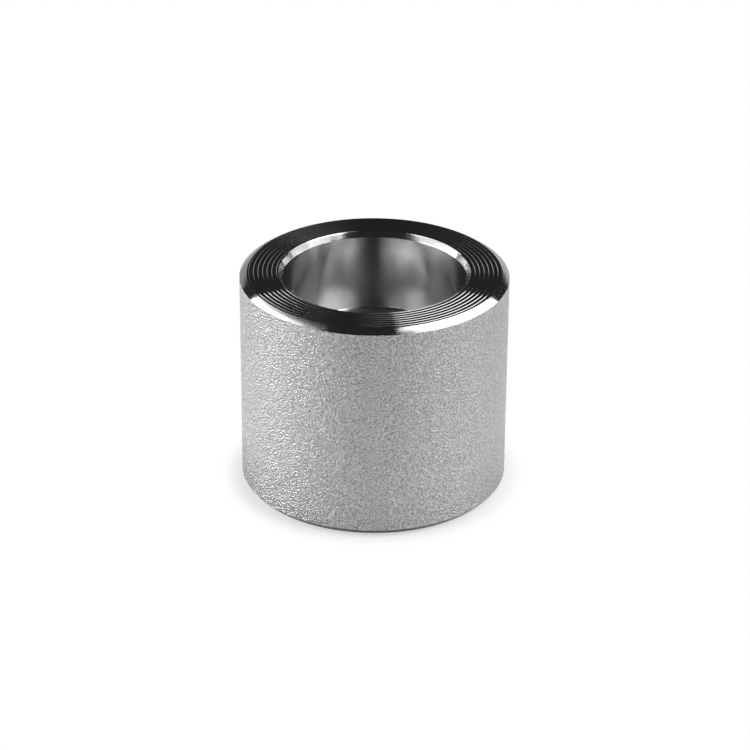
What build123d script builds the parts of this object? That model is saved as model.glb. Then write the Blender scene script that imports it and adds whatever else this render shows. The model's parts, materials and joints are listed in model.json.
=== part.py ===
from build123d import *
import os

# Socket weld reducing coupling, turned from one steel bar.
# The part stands on its small end: the axis is +Z and the origin is the centre of the lower face.
# All sizes are in millimetres.

# Pipes that the two sockets take, NPS 1/2 and NPS 3/8
large_pipe_diameter = 21.3
small_pipe_diameter = 17.1
socket_clearance = 0.275

# Body
socket_wall = 5.075
large_socket_depth = 10.2
small_socket_depth = 10.0
middle_land = 6.8
flow_bore_diameter = 12.5

# Chamfers outside the two end faces, and the lead-in of the sockets
large_end_chamfer_width = 0.94
large_end_chamfer_height = 0.62
small_end_chamfer_width = 0.75
small_end_chamfer_height = 0.85
lead_in_width = 0.43
lead_in_height = 0.7

# Inner corners
socket_floor_radius = 0.25
flow_bore_edge_break = 0.25

# Radii and heights that follow from the sizes above
large_socket_radius = large_pipe_diameter / 2 + socket_clearance
small_socket_radius = small_pipe_diameter / 2 + socket_clearance
flow_bore_radius = flow_bore_diameter / 2
body_radius = large_socket_radius + socket_wall
small_socket_floor = small_socket_depth
large_socket_floor = small_socket_floor + middle_land
overall_length = large_socket_floor + large_socket_depth


def corners_at(section, places):
    """The section's corners nearest to the given (radius, height) places."""
    return [section.vertices().sort_by_distance(place)[0] for place in places]


def half_section():
    """The wall of the coupling on one side of its axis, x outwards and y along the axis."""
    outside = [
        (body_radius - small_end_chamfer_width, 0),
        (body_radius, small_end_chamfer_height),
        (body_radius, overall_length - large_end_chamfer_height),
        (body_radius - large_end_chamfer_width, overall_length),
    ]
    large_socket = [
        (large_socket_radius + lead_in_width, overall_length),
        (large_socket_radius, overall_length - lead_in_height),
        (large_socket_radius, large_socket_floor),
    ]
    flow_bore = [
        (flow_bore_radius, large_socket_floor),
        (flow_bore_radius, small_socket_floor),
    ]
    small_socket = [
        (small_socket_radius, small_socket_floor),
        (small_socket_radius, lead_in_height),
        (small_socket_radius + lead_in_width, 0),
    ]
    section = make_face(Polyline(*outside, *large_socket, *flow_bore, *small_socket, close=True))
    section = chamfer(corners_at(section, flow_bore), flow_bore_edge_break)
    section = fillet(corners_at(section, [large_socket[-1], small_socket[0]]), socket_floor_radius)
    return section


coupling_body = revolve(Plane.XZ * half_section(), Axis.Z)
coupling_body.label = "coupling_body"

os.makedirs("parts", exist_ok=True)
export_step(coupling_body, "parts/coupling_body.step")
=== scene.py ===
import json
import math

import bpy
import numpy as np
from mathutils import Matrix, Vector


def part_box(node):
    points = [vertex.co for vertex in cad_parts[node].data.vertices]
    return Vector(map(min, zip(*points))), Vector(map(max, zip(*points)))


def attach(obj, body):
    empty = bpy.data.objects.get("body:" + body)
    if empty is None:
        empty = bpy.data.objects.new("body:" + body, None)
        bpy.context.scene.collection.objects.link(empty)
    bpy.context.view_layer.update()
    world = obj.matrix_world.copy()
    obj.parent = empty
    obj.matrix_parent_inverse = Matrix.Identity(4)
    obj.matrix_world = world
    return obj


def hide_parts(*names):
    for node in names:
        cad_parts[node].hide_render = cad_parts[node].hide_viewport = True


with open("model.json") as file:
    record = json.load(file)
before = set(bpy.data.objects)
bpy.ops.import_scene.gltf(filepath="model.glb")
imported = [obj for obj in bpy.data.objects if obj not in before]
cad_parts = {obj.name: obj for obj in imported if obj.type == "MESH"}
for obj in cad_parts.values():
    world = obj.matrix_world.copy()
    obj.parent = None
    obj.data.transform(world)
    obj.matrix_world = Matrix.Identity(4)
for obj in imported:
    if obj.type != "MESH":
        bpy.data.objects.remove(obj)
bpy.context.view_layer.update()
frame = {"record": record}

MM = 0.001
NODE = "coupling_body"

# Sizes of the fitting in millimetres, from the frame where it gives them
node_low, node_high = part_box(NODE)
mounts = {mount["name"]: mount for mount in frame["record"]["mounts"]}
LENGTH = (node_high.z - node_low.z) / MM
BODY_RADIUS = 16.0
LARGE_RADIUS = mounts["large_socket"]["dims"]["r_mm"]
SMALL_RADIUS = mounts["small_socket"]["dims"]["r_mm"]
FLOW_RADIUS = 6.25
LARGE_FLOOR = 16.8
SMALL_FLOOR = 10.0
FLOOR_FILLET = 0.25
FLOW_EDGE_BREAK = 0.25

# Chamfers as width across the radius and height along the axis
LARGE_END_CHAMFER = (0.94, 0.62)
SMALL_END_CHAMFER = (0.75, 0.85)
LEAD_IN = (0.43, 0.7)

# Finish of the edges: the tool leaves the chamfers slightly crowned and their edges rounded
CROWN = 0.025
FACE_EDGE_ROUND = 0.5
MOUTH_ROUND = 0.1
SMALL_ROUND = 0.04

# Turning lines of the end faces, one spiral cut that runs inwards. Outwards, each line rises slowly over its
# land and falls back over its flank. The mesh carries a share of the depth and the bump carries the rest.
# The samples, in feeds, are where a line's height is averaged for one ring of the mesh
FEED = 0.544
SPIRAL_START = 12.064
LINE_DEPTH = 0.068
FLANK_SHARE = 0.16
MESH_SHARE = 0.5
LINE_SAMPLES = (-0.06, -0.02, 0.02, 0.06)

# The camera faces the -y side, a quarter turn before +x when turns are counted anticlockwise
CAMERA_SIDE_TO_X = 0.25

# Mesh density: columns round the axis, and the distance between rings or their number
COLUMNS = 384
WALL_STEP = 0.28
FACE_STEP = FEED / 8
LOWER_FACE_STEP = FEED / 4
BORE_STEP = 2.4
LEDGE_STEP = 1.2
LEAD_IN_STEP = 0.2
EDGE_BREAK_STEP = 0.15
CHAMFER_BANDS = 5
ROUND_BANDS = 4
SMALL_ROUND_BANDS = 2

# Coarse blasted grain of the wall, in the mesh: grains of about one size over fainter, wider swells.
# Frequencies are in waves over one grain's width, and their spreads in squares of that
GRAIN_DEPTH = 0.07
GRAIN_SIZE = 0.9
GRAIN_SEED = 11
GRAIN_SPREAD = 0.4
SWELL_FREQUENCY = 0.3
SWELL_SPREAD = 0.02
SWELL_SHARE = 0.4
DEVIATIONS_IN_DEPTH = 5.0

# Fine blasted grain of the wall, as bump. Its noise also paints the steel's colour: painted sheen lighter on
# the crests and painted shade darker in the hollows
FINE_GRAINS_PER_METRE = 4200.0
FINE_GRAIN_DEPTH = 0.2
HOLLOW_NOISE, CREST_NOISE = 0.35, 0.65
PAINTED_SHADE_GREY, PAINTED_SHEEN_GREY = 0.33, 0.56

# Nicks, as the bump of one cell in five, kept clear of the sockets' lead-ins
EMPTY_CELLS = 0.8
NICK_CLEARANCE = 0.6

# Tool marks: their lengths hold at this radius. The slant makes their pattern grow across them on faces,
# chamfers and bores alike
MARKS_RADIUS = 10.0
MARKS_SLANT = 1.13

# A quarter turn stretches the highlights of the steel across its tool marks
ACROSS_MARKS = 0.25

# Camera, at the photograph's viewing angle, with distances in millimetres
CAMERA_PITCH = math.radians(27.455)
CAMERA_ROLL = math.radians(0.378)
CAMERA_DISTANCE = 354.62
CAMERA_AIM = (0.133, 0.0, 13.105)
FOCAL_PIXELS = 2946.0
IMAGE_PIXELS = 750.0
SENSOR_WIDTH = 36.0
NEAREST_SEEN = 10.0

# The floor is lit paper near the object and turns to plain white away from it. The distances are millimetres
# from the axis: the first pair holds for the camera, the others for what the steel mirrors
PAPER = 0.9
SEEN_FROM, SEEN_AT = 15.6, 18.8
SEEN_UNDER_OBJECT = 0.55
MIRRORED_FROM, MIRRORED_AT = 17.0, 24.0
BACKDROP_FROM, BACKDROP_AT = 70.0, 110.0
BACKDROP_LEVEL = 0.5
FLOOR_WIDTH = 6000.0

# Soft lamps, all at one distance. Distance and sizes are in metres and angles in degrees: azimuth 0 is on the
# camera's side and 90 to its right
LAMP_DISTANCE = 1.0
LAMPS = [
    # name, azimuth, elevation, width and height, roll, radiance
    ("softbox_right", 118, 52.0, (0.83, 0.87), 53, 1.9),
    ("softbox_right_core", 76, 48.3, (0.70, 0.34), -21, 5.3),
    ("fill_right", 88, 20, (1.1, 0.24), -14, 1.0),
    ("strip_right", 75.7, 4.6, (1.26, 0.16), 1, 5.6),
    ("softbox_left", 261, 44.5, (1.18, 0.38), 23, 3.0),
    ("fill_left", 272, 20, (1.1, 0.24), 14, 1.15),
    ("strip_left", 273.5, 5.6, (1.05, 0.19), 0, 5.2),
    ("strip_left_core", 266, 5.4, (0.68, 0.185), 0, 4.8),
    ("card_left", 280, 10.4, (0.96, 0.17), 16, 4.6),
    ("low_back_right", 124, 4.6, (0.5, 0.16), 0, 1.3),
    ("low_back_left", 233, 4.6, (0.4, 0.16), 0, 1.3),
    ("card_back_right", 158, 6.5, (0.5, 0.2), -10, 0.5),
    ("card_back_left", 205, 9.0, (0.5, 0.28), 15, 0.3),
]
ROOM_GREY = 0.02

# Zones of the surface, which are also its material slots
SIDE, CHAMFER, FACE, BORE, INNER, SHADED_LOWER_CHAMFER = range(6)


class Row:
    """One ring of the lathe mesh: its place, the zone of the band that follows and how relief moves it."""

    def __init__(self, radius, height, zone, relief=None, sharp=False):
        self.radius = radius
        self.height = height
        self.zone = zone
        self.relief = relief
        self.sharp = sharp

    @property
    def place(self):
        return self.radius, self.height


def run(start, end, step, zone, relief=None):
    """Rows from start up to, but not including, end."""
    start, end = np.array(start, float), np.array(end, float)
    count = max(1, round(float(np.linalg.norm(end - start)) / step))
    places = start + (end - start) * np.arange(count)[:, None] / count
    return [Row(r, z, zone, relief) for r, z in places]


def arc(corner, before, after, radius, bands):
    """Rows of a round in place of a corner, from its first tangent point to its last."""
    corner, before, after = (np.array(place, float) for place in (corner, before, after))
    to_before = (before - corner) / np.linalg.norm(before - corner)
    to_after = (after - corner) / np.linalg.norm(after - corner)
    half_angle = math.acos(np.clip(to_before @ to_after, -1, 1)) / 2
    middle = to_before + to_after
    centre = corner + middle / np.linalg.norm(middle) * radius / math.sin(half_angle)
    reach = radius / math.tan(half_angle)
    first, last = corner + to_before * reach - centre, corner + to_after * reach - centre
    sweep = math.pi - 2 * half_angle
    rows = []
    for share in np.linspace(0, 1, bands + 1):
        arm = first * math.sin((1 - share) * sweep) + last * math.sin(share * sweep)
        r, z = centre + arm / np.linalg.norm(arm) * radius
        rows.append(Row(r, z, CHAMFER))
    return rows


def crowned(start, end):
    """Rows of a chamfer whose middle stands CROWN proud, to the right of the way from start to end."""
    start, end = np.array(start, float), np.array(end, float)
    along = (end - start) / np.linalg.norm(end - start)
    outward = np.array([along[1], -along[0]])
    rows = []
    for share in np.linspace(0, 1, CHAMFER_BANDS + 1):
        r, z = start + (end - start) * share + outward * CROWN * 4 * share * (1 - share)
        rows.append(Row(r, z, CHAMFER))
    return rows


def outer_chamfer(face_height, facing, size):
    """The crowned outer chamfer from the wall to the face, with a rounded edge at the face.

    facing is +1 at the large end, where the face looks up, and -1 at the small end.
    """
    width, rise = size
    wall_edge = (BODY_RADIUS, face_height - facing * rise)
    face_edge = (BODY_RADIUS - width, face_height)
    on_face = (BODY_RADIUS - 2 * width, face_height)
    turned = arc(face_edge, wall_edge, on_face, FACE_EDGE_ROUND, ROUND_BANDS)
    if facing > 0:
        slope = crowned(wall_edge, turned[0].place)
    else:
        slope = crowned(turned[0].place, wall_edge)[::-1]
    return slope[:-1] + turned


def outline():
    """The closed section outline: up the outside, in over the large face, down the bores and out again."""
    upper = outer_chamfer(LENGTH, 1, LARGE_END_CHAMFER)
    lower = outer_chamfer(0.0, -1, SMALL_END_CHAMFER)
    wall_top, wall_foot = upper[0], lower[0]
    wall_top.relief = "top edge"
    wall_top.sharp = True
    face_rim = (upper[-1].radius, LENGTH)
    lower_rim = (lower[-1].radius, 0)

    lead_in_width, lead_in_height = LEAD_IN
    mouth = (LARGE_RADIUS + lead_in_width, LENGTH)
    throat = (LARGE_RADIUS, LENGTH - lead_in_height)
    floor_outer = (LARGE_RADIUS, LARGE_FLOOR)
    floor_inner = (FLOW_RADIUS + FLOW_EDGE_BREAK, LARGE_FLOOR)
    flow_top = (FLOW_RADIUS, LARGE_FLOOR - FLOW_EDGE_BREAK)
    flow_foot = (FLOW_RADIUS, SMALL_FLOOR + FLOW_EDGE_BREAK)
    ledge_inner = (FLOW_RADIUS + FLOW_EDGE_BREAK, SMALL_FLOOR)
    ledge_outer = (SMALL_RADIUS, SMALL_FLOOR)
    small_throat = (SMALL_RADIUS, lead_in_height)
    small_mouth = (SMALL_RADIUS + lead_in_width, 0)

    # Each corner: place, radius of its round, zone and step of the stretch that follows, and its relief
    corners = [
        (mouth, MOUTH_ROUND, CHAMFER, LEAD_IN_STEP, None),
        (throat, SMALL_ROUND, BORE, BORE_STEP, None),
        (floor_outer, FLOOR_FILLET, INNER, LEDGE_STEP, None),
        (floor_inner, SMALL_ROUND, CHAMFER, EDGE_BREAK_STEP, None),
        (flow_top, SMALL_ROUND, INNER, BORE_STEP, None),
        (flow_foot, SMALL_ROUND, CHAMFER, EDGE_BREAK_STEP, None),
        (ledge_inner, SMALL_ROUND, INNER, LEDGE_STEP, None),
        (ledge_outer, FLOOR_FILLET, BORE, BORE_STEP, None),
        (small_throat, SMALL_ROUND, CHAMFER, LEAD_IN_STEP, None),
        (small_mouth, MOUTH_ROUND, FACE, LOWER_FACE_STEP, "lower face"),
    ]
    places = [face_rim] + [corner[0] for corner in corners] + [lower_rim]
    rounds = []
    for before, (place, radius, *_), after in zip(places, corners, places[2:]):
        bands = ROUND_BANDS if radius > SMALL_ROUND else SMALL_ROUND_BANDS
        rounds.append(arc(place, before, after, radius, bands))
    stretch_ends = [turned[0].place for turned in rounds[1:]] + [lower_rim]

    rows = run(wall_foot.place, wall_top.place, WALL_STEP, SIDE, "wall")
    rows[0] = Row(wall_foot.radius, wall_foot.height, SIDE, "foot edge", sharp=True)
    rows += upper[:-1]
    rows += run(face_rim, rounds[0][0].place, FACE_STEP, FACE, "upper face")
    for turned, stretch_end, (_, _, zone, step, relief) in zip(rounds, stretch_ends, corners):
        rows += turned[:-1]
        rows += run(turned[-1].place, stretch_end, step, zone, relief)
    # The lower chamfer takes a darker copy of the chamfer steel, painted shade for the contact shadow at the
    # foot
    rows += [Row(r.radius, r.height, SHADED_LOWER_CHAMFER) for r in reversed(lower[1:])]
    return rows


def grain(rows, columns, row_step, column_step):
    """Heights of the blasted surface between -1 and 0, closed round the part."""
    rng = np.random.default_rng(GRAIN_SEED)
    white = np.fft.rfft2(rng.standard_normal((rows, columns)))
    across = np.fft.fftfreq(rows, row_step)[:, None]
    around = np.fft.rfftfreq(columns, column_step)[None, :]
    frequency = np.hypot(across, around) * GRAIN_SIZE
    grains = np.exp(-((frequency - 1.0) ** 2) / GRAIN_SPREAD)
    swells = np.exp(-((frequency - SWELL_FREQUENCY) ** 2) / SWELL_SPREAD)
    heights = np.fft.irfft2(white * (grains + SWELL_SHARE * swells), s=(rows, columns))
    return np.clip(heights / (DEVIATIONS_IN_DEPTH * heights.std()), -0.5, 0.5) - 0.5


def turning_lines(radius, turn):
    """Depth of the spiral facing cut, from -1 to 0, at this radius and these shares of a turn.

    The profile is averaged over one step of the mesh, so that its crests keep one height round the face.
    """
    total = 0.0
    for shift in LINE_SAMPLES:
        phase = np.mod((radius - SPIRAL_START) / FEED + turn + shift, 1.0)
        total = total + np.minimum(phase / (1.0 - FLANK_SHARE), (1.0 - phase) / FLANK_SHARE) - 1.0
    return total / len(LINE_SAMPLES)


def surface_relief(rows, angle):
    """How far each vertex moves outwards and upwards from its ring, in millimetres."""
    turn = np.mod(angle / (2 * math.pi) + CAMERA_SIDE_TO_X, 1.0)
    out = np.zeros((len(rows), COLUMNS))
    up = np.zeros((len(rows), COLUMNS))
    wall_rows = [i for i, row in enumerate(rows) if row.relief in ("wall", "foot edge", "top edge")]
    # The pattern closes on itself both ways, so the wall takes only its first half
    skin = grain(2 * len(wall_rows), COLUMNS, WALL_STEP, 2 * math.pi * BODY_RADIUS / COLUMNS) * GRAIN_DEPTH
    for height, i in zip(skin, wall_rows):
        out[i] = height
    for i, row in enumerate(rows):
        # The edges of the wall slide along the slopes of their chamfers
        if row.relief == "top edge":
            up[i] = -out[i]
        elif row.relief == "foot edge":
            up[i] = out[i]
        elif row.relief == "upper face":
            up[i] = turning_lines(row.radius, turn) * LINE_DEPTH * MESH_SHARE
        elif row.relief == "lower face":
            up[i] = -turning_lines(row.radius, turn) * LINE_DEPTH * MESH_SHARE
    return out, up


def mark_sharp_rings(mesh, rows):
    """Make the edges of the sharp rows sharp, where the wall meets its two chamfers."""
    ends = np.empty(2 * len(mesh.edges), np.int32)
    mesh.edges.foreach_get("vertices", ends)
    ring = ends.reshape(-1, 2) // COLUMNS
    sharp_rings = [i for i, row in enumerate(rows) if row.sharp]
    sharp = (ring[:, 0] == ring[:, 1]) & np.isin(ring[:, 0], sharp_rings)
    mesh.attributes.new("sharp_edge", "BOOLEAN", "EDGE").data.foreach_set("value", sharp)


def coupling():
    """The fitting as one closed lathe mesh, ring after ring along its outline."""
    rows = outline()
    count = len(rows)
    angle = np.arange(COLUMNS) / COLUMNS * 2 * math.pi
    out, up = surface_relief(rows, angle)
    radius = np.array([row.radius for row in rows])[:, None] + out
    height = np.array([row.height for row in rows])[:, None] + up
    vertices = np.stack([radius * np.cos(angle), radius * np.sin(angle), height], -1).reshape(-1, 3) * MM

    i, j = np.meshgrid(np.arange(count), np.arange(COLUMNS), indexing="ij")
    i_next, j_next = (i + 1) % count, (j + 1) % COLUMNS
    corners = (i * COLUMNS + j, i * COLUMNS + j_next, i_next * COLUMNS + j_next, i_next * COLUMNS + j)
    quads = np.stack(corners, -1).reshape(-1, 4)
    mesh = bpy.data.meshes.new("coupling")
    mesh.from_pydata(vertices.tolist(), [], quads.tolist())
    zones = np.array([row.zone for row in rows], np.int32)
    mesh.polygons.foreach_set("material_index", np.repeat(zones, COLUMNS))
    mesh.polygons.foreach_set("use_smooth", np.ones(len(quads), bool))
    mark_sharp_rings(mesh, rows)
    mesh.update()
    piece = bpy.data.objects.new("coupling", mesh)
    bpy.context.scene.collection.objects.link(piece)
    return piece


class Nodes:
    """A material's node tree, with one short call for each node."""

    def __init__(self, material):
        material.use_nodes = True
        self.tree = material.node_tree
        self.tree.nodes.clear()

    def add(self, kind, settings=None, **inputs):
        """Add a node; inputs are named with _ for a space, or _0, _1 by their place."""
        node = self.tree.nodes.new(kind)
        for name, value in (settings or {}).items():
            setattr(node, name, value)
        for name, value in inputs.items():
            socket = node.inputs[int(name[1:])] if name[1:].isdigit() else node.inputs[name.replace("_", " ")]
            if isinstance(value, bpy.types.NodeSocket):
                self.tree.links.new(value, socket)
            else:
                socket.default_value = value
        return node

    def math(self, operation, *values, **settings):
        """The result of a math node; the settings are those of the node."""
        inputs = {f"_{i}": value for i, value in enumerate(values)}
        return self.add("ShaderNodeMath", {"operation": operation, **settings}, **inputs).outputs[0]

    def ramp(self, value, start, end, low, high, interpolation="LINEAR"):
        """A value that goes from low to high while the given one goes from start to end."""
        inputs = {"Value": value, "From_Min": start, "From_Max": end, "To_Min": low, "To_Max": high}
        return self.add("ShaderNodeMapRange", {"interpolation_type": interpolation}, **inputs).outputs[0]

    def bump(self, height, shader):
        """Give the shader relief; the height is in metres."""
        bump = self.add("ShaderNodeBump", Height=height, Strength=1.0, Distance=1.0)
        self.tree.links.new(bump.outputs[0], shader.inputs["Normal"])


def steel(name, grey, roughness, finish, anisotropic=0.0):
    """A bare steel; finish is the function that adds its relief."""
    material = bpy.data.materials.new(name)
    nodes = Nodes(material)
    shader = nodes.add("ShaderNodeBsdfPrincipled", Metallic=1.0, Roughness=roughness)
    shader.inputs["Base Color"].default_value = (grey, grey, grey, 1)
    if anisotropic:
        shader.inputs["Anisotropic"].default_value = anisotropic
        shader.inputs["Anisotropic Rotation"].default_value = ACROSS_MARKS
        around = nodes.add("ShaderNodeTangent", {"direction_type": "RADIAL", "axis": "Z"})
        nodes.tree.links.new(around.outputs[0], shader.inputs["Tangent"])
    finish(nodes, shader)
    nodes.add("ShaderNodeOutputMaterial", Surface=shader.outputs[0])
    return material


def polar(nodes):
    """Sockets of x, y, z and the radius about the axis, in metres."""
    place = nodes.add("ShaderNodeTexCoord").outputs["Object"]
    x, y, z = nodes.add("ShaderNodeSeparateXYZ", _0=place).outputs
    radius = nodes.math("SQRT", nodes.math("ADD", nodes.math("MULTIPLY", x, x), nodes.math("MULTIPLY", y, y)))
    return x, y, z, radius


def fine_lines(nodes):
    """Depth in metres of the part of the turning lines that is finer than the mesh."""
    x, y, _, radius = polar(nodes)
    spiral_shift = CAMERA_SIDE_TO_X - SPIRAL_START / FEED
    turn = nodes.math("MULTIPLY_ADD", nodes.math("ARCTAN2", y, x), 1 / (2 * math.pi), spiral_shift)
    phase = nodes.math("FRACT", nodes.math("ADD", nodes.math("DIVIDE", radius, FEED * MM), turn))
    land = nodes.math("DIVIDE", phase, 1.0 - FLANK_SHARE)
    flank = nodes.math("DIVIDE", nodes.math("SUBTRACT", 1.0, phase), FLANK_SHARE)
    return nodes.math("MULTIPLY", nodes.math("MINIMUM", land, flank), LINE_DEPTH * (1 - MESH_SHARE) * MM)


def nicks(nodes, spacing, radius, depth):
    """Depth in metres of small scattered dents outside the sockets; all sizes are in millimetres."""
    place = nodes.add("ShaderNodeTexCoord").outputs["Object"]
    cells = nodes.add("ShaderNodeTexVoronoi", Vector=place, Scale=1 / (spacing * MM)).outputs
    lot = nodes.add("ShaderNodeSeparateColor", _0=cells["Color"]).outputs[0]
    chosen = nodes.math("GREATER_THAN", lot, EMPTY_CELLS)
    outside = nodes.math("GREATER_THAN", polar(nodes)[3], (LARGE_RADIUS + NICK_CLEARANCE) * MM)
    from_middle = nodes.math("DIVIDE", cells["Distance"], radius / spacing)
    dent = nodes.math("SUBTRACT", 1.0, from_middle, use_clamp=True)
    there = nodes.math("MULTIPLY", chosen, outside)
    return nodes.math("MULTIPLY", nodes.math("MULTIPLY", dent, there), -depth * MM)


def tool_marks(nodes, shader, across, along, depth, more=None):
    """Fine marks that run round the axis, with more relief added to them where it's given.

    across, along and depth are the width, length and depth of the marks in millimetres.
    """
    x, y, z, radius = polar(nodes)
    slanted = nodes.math("ADD", radius, nodes.math("MULTIPLY", z, MARKS_SLANT))
    across_place = nodes.math("MULTIPLY", slanted, 1 / (across * MM))
    marks_round = MARKS_RADIUS / along
    round_x = nodes.math("MULTIPLY", nodes.math("DIVIDE", x, radius), marks_round)
    round_y = nodes.math("MULTIPLY", nodes.math("DIVIDE", y, radius), marks_round)
    at = nodes.add("ShaderNodeCombineXYZ", _0=round_x, _1=round_y, _2=across_place).outputs[0]
    marks = nodes.add("ShaderNodeTexNoise", Vector=at, Scale=1.0, Detail=3.0, Roughness=0.6).outputs[0]
    height = nodes.math("MULTIPLY", marks, depth * MM)
    if more:
        height = nodes.math("ADD", height, more)
    nodes.bump(height, shader)


def blasted(nodes, shader):
    """The wall: fine grain and a few pits, with painted sheen on the grain's crests and painted shade in its
    hollows.
    """
    place = nodes.add("ShaderNodeTexCoord").outputs["Object"]
    scale = FINE_GRAINS_PER_METRE
    fine = nodes.add("ShaderNodeTexNoise", Vector=place, Scale=scale, Detail=2.0, Roughness=0.46).outputs[0]
    grains = nodes.math("MULTIPLY", fine, FINE_GRAIN_DEPTH * MM)
    nodes.bump(nodes.math("ADD", grains, nicks(nodes, spacing=2.2, radius=0.15, depth=0.07)), shader)
    # The grain's noise paints sheen onto the crests and shade into the hollows of the steel's colour
    shade = nodes.ramp(fine, HOLLOW_NOISE, CREST_NOISE, PAINTED_SHADE_GREY, PAINTED_SHEEN_GREY)
    nodes.tree.links.new(shade, shader.inputs["Base Color"])


def chamfer_marks(nodes, shader):
    """The outer chamfers, lead-ins and edge breaks: very faint marks and a few nicks."""
    dents = nicks(nodes, spacing=0.9, radius=0.12, depth=0.01)
    tool_marks(nodes, shader, across=0.05, along=9.0, depth=0.0003, more=dents)


def face_marks(nodes, shader):
    """The end faces: turning lines, faint marks and a few nicks."""
    lines = nodes.math("ADD", fine_lines(nodes), nicks(nodes, spacing=0.8, radius=0.1, depth=0.012))
    tool_marks(nodes, shader, across=0.05, along=9.0, depth=0.0014, more=lines)


def bore_marks(nodes, shader):
    """The sockets, their floors and the flow bore: long marks round the axis."""
    tool_marks(nodes, shader, across=0.1, along=14.0, depth=0.0028)


def materials():
    """The finishes of the one steel, in the order of the zones; the lower chamfer's copy is darkened with
    painted shade.
    """
    return [
        steel("blasted_side", 0.42, 0.37, blasted),
        steel("bright_chamfer", 0.75, 0.15, chamfer_marks, anisotropic=1.0),
        steel("turned_face", 0.68, 0.12, face_marks, anisotropic=1.0),
        steel("polished_bore", 0.76, 0.165, bore_marks, anisotropic=1.0),
        steel("machined_inside", 0.58, 0.3, bore_marks, anisotropic=0.9),
        # The chamfer steel with painted shade: its grey is darkened for the contact shadow at the foot
        steel("lower_chamfer", 0.34, 0.2, chamfer_marks, anisotropic=1.0),
    ]


def camera():
    """The camera, which looks at its aim from the -y side and from above."""
    data = bpy.data.cameras.new("camera")
    data.sensor_width = SENSOR_WIDTH
    data.lens = FOCAL_PIXELS * data.sensor_width / IMAGE_PIXELS
    data.clip_start = NEAREST_SEEN * MM
    eye = bpy.data.objects.new("camera", data)
    aim_x, aim_y, aim_z = CAMERA_AIM
    eye.location = (
        aim_x * MM,
        (aim_y - CAMERA_DISTANCE * math.cos(CAMERA_PITCH)) * MM,
        (aim_z + CAMERA_DISTANCE * math.sin(CAMERA_PITCH)) * MM,
    )
    eye.rotation_euler = (math.pi / 2 - CAMERA_PITCH, 0, 0)
    eye.rotation_euler.rotate_axis("Z", CAMERA_ROLL)
    bpy.context.scene.collection.objects.link(eye)
    bpy.context.scene.camera = eye


def paper(plane):
    """The floor's material: lit paper round the object, plain white away from it."""
    material = bpy.data.materials.new("floor")
    nodes = Nodes(material)
    place = nodes.add("ShaderNodeTexCoord").outputs["Object"]
    away = nodes.add("ShaderNodeVectorMath", {"operation": "LENGTH"}, _0=place).outputs["Value"]

    def rising(start, end, low, high):
        return nodes.ramp(away, start * MM, end * MM, low, high, "SMOOTHSTEP")

    path = nodes.add("ShaderNodeLightPath").outputs
    seen = nodes.math("MULTIPLY", path["Is Camera Ray"], rising(SEEN_FROM, SEEN_AT, SEEN_UNDER_OBJECT, 1.0))
    mirrored = nodes.math("MULTIPLY", path["Is Glossy Ray"], rising(MIRRORED_FROM, MIRRORED_AT, 0.0, 1.0))
    backdrop = rising(BACKDROP_FROM, BACKDROP_AT, 1.0, BACKDROP_LEVEL)
    level = nodes.math("MAXIMUM", path["Is Camera Ray"], backdrop)
    lit = nodes.add("ShaderNodeBsdfDiffuse", Color=(PAPER, PAPER, PAPER, 1))
    white = nodes.add("ShaderNodeEmission", Color=(1, 1, 1, 1), Strength=level)
    share = nodes.math("MAXIMUM", seen, mirrored)
    mix = nodes.add("ShaderNodeMixShader", Fac=share, _1=lit.outputs[0], _2=white.outputs[0])
    nodes.add("ShaderNodeOutputMaterial", Surface=mix.outputs[0])
    plane.data.materials.append(material)


def floor():
    """The pale floor that the fitting stands on."""
    bpy.ops.mesh.primitive_plane_add(size=FLOOR_WIDTH * MM, location=(0, 0, 0))
    plane = bpy.context.object
    plane.name = "floor"
    paper(plane)


def softbox(name, azimuth, elevation, size, roll, radiance):
    """A rectangular lamp that faces the object; its power grows with its area, so it stays as bright."""
    data = bpy.data.lights.new(name, "AREA")
    data.shape = "RECTANGLE"
    data.size, data.size_y = size
    data.energy = radiance * math.pi * size[0] * size[1]
    lamp = bpy.data.objects.new(name, data)
    turn, rise = math.radians(azimuth), math.radians(elevation)
    lamp.location = (
        LAMP_DISTANCE * math.cos(rise) * math.sin(turn),
        -LAMP_DISTANCE * math.cos(rise) * math.cos(turn),
        LAMP_DISTANCE * math.sin(rise),
    )
    aim = (-lamp.location).to_track_quat("-Z", "Y").to_euler()
    aim.rotate_axis("Z", math.radians(roll))
    lamp.rotation_euler = aim
    bpy.context.scene.collection.objects.link(lamp)


def room():
    """The dim room round the lamps."""
    world = bpy.data.worlds.new("world")
    bpy.context.scene.world = world
    world.use_nodes = True
    world.node_tree.nodes["Background"].inputs[0].default_value = (ROOM_GREY, ROOM_GREY, ROOM_GREY, 1)


piece = coupling()
for material in materials():
    piece.data.materials.append(material)
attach(piece, "root")
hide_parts(NODE)

camera()
floor()
for lamp in LAMPS:
    softbox(*lamp)
room()

scene = bpy.context.scene
scene.view_settings.view_transform = "Standard"
